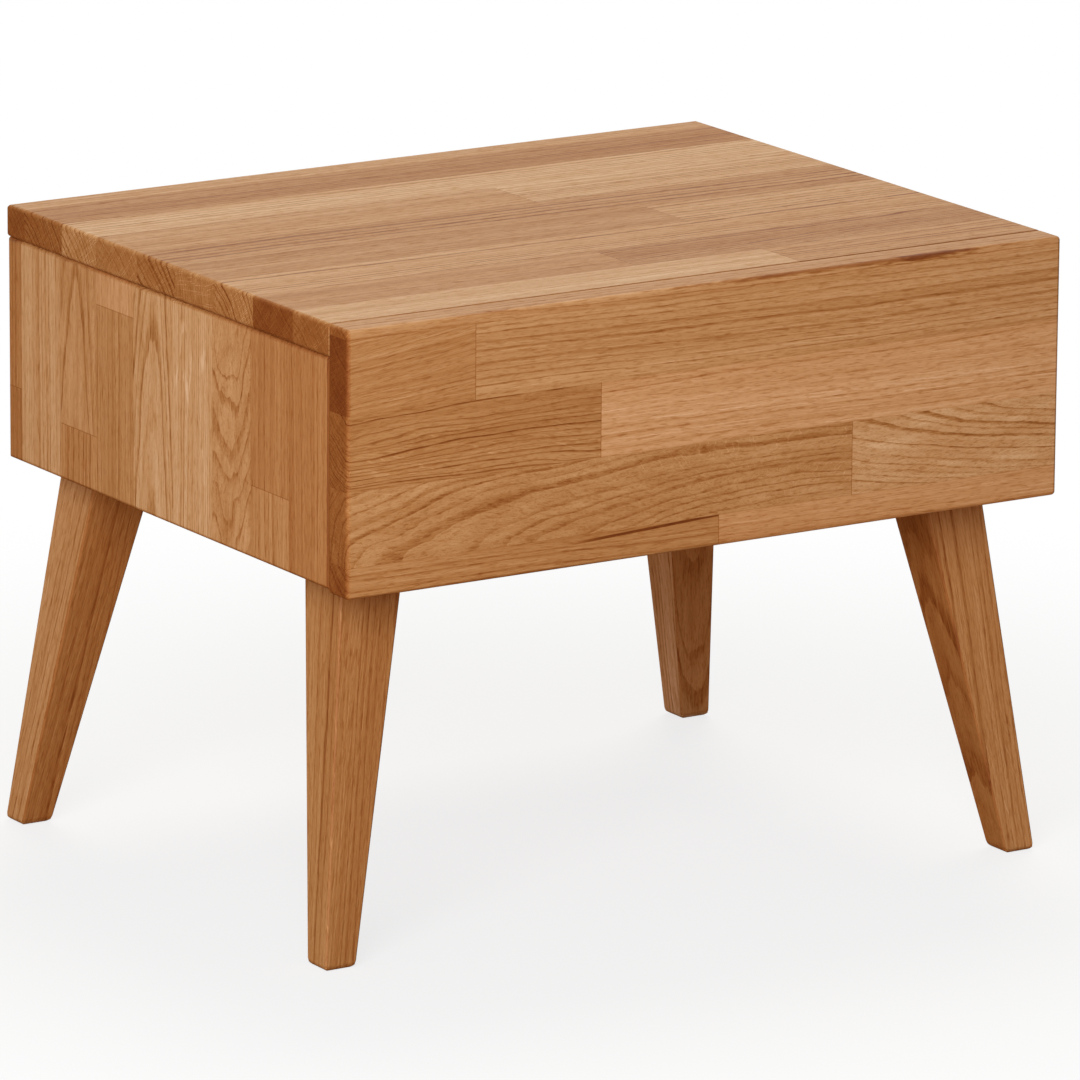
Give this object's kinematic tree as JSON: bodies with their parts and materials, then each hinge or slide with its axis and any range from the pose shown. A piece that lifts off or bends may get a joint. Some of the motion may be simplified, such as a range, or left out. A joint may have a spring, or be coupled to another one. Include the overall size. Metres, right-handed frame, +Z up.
{
  "type": "nightstand",
  "caption": "Low oak nightstand with a handleless overlay drawer on ball runners, standing on splayed, tapered legs.",
  "frame": {"origin": "on the floor, under the middle of the whole", "axes": "+Z up, +X to the right along the drawer front, +Y to the back; the drawer opens towards -Y"},
  "size_m": [0.5054, 0.4027, 0.388],
  "materials": {
    "oak": "oiled, satin",
    "back_board": "oiled veneer",
    "drawer_wood": "clear lacquer, satin",
    "base_board": "plain plywood",
    "tongue_wood": "plain beech",
    "runner_steel": "zinc plated",
    "cage_plastic": "moulded, dark",
    "fastener_steel": "zinc plated",
    "bumper_rubber": "soft, translucent grey"
  },
  "bodies": {
    "carcass": {"top_panel": "oak", "left_side_panel": "oak", "right_side_panel": "oak", "bottom_panel": "oak", "back_panel": "back_board", "front_left_leg": "oak", "front_right_leg": "oak", "back_left_leg": "oak", "back_right_leg": "oak", "left_top_tongue": "tongue_wood", "right_top_tongue": "tongue_wood", "left_bottom_tongue": "tongue_wood", "right_bottom_tongue": "tongue_wood", "leg_screws": "fastener_steel", "left_cabinet_rail": "runner_steel", "right_cabinet_rail": "runner_steel", "cabinet_rail_screws": "fastener_steel"},
    "outer_cages": {"left_outer_cage": "cage_plastic", "right_outer_cage": "cage_plastic"},
    "middle_rails": {"left_middle_rail": "runner_steel", "right_middle_rail": "runner_steel"},
    "inner_cages": {"left_inner_cage": "cage_plastic", "right_inner_cage": "cage_plastic"},
    "drawer": {"drawer_front": "oak", "drawer_box_front": "drawer_wood", "drawer_box_back": "drawer_wood", "drawer_left_side": "drawer_wood", "drawer_right_side": "drawer_wood", "drawer_base": "base_board", "left_drawer_rail": "runner_steel", "right_drawer_rail": "runner_steel", "drawer_rail_screws": "fastener_steel", "drawer_front_screws": "fastener_steel", "front_bumpers": "bumper_rubber"}
  },
  "joints": [
    {"name": "drawer_slide", "type": "slide", "parent": "carcass", "child": "drawer", "axis": [0, -1, 0], "range_m": [0, 0.3]},
    {"name": "middle_rail_slide", "type": "slide", "parent": "carcass", "child": "middle_rails", "axis": [0, -1, 0], "range_m": [0, 0.15]},
    {"name": "outer_cage_slide", "type": "slide", "parent": "carcass", "child": "outer_cages", "axis": [0, -1, 0], "range_m": [0, 0.075]},
    {"name": "inner_cage_slide", "type": "slide", "parent": "carcass", "child": "inner_cages", "axis": [0, -1, 0], "range_m": [0, 0.225]}
  ],
  "couplings": [
    {"joint": "middle_rail_slide", "follows": "drawer_slide", "ratio": 0.5},
    {"joint": "outer_cage_slide", "follows": "drawer_slide", "ratio": 0.25},
    {"joint": "inner_cage_slide", "follows": "drawer_slide", "ratio": 0.75}
  ]
}
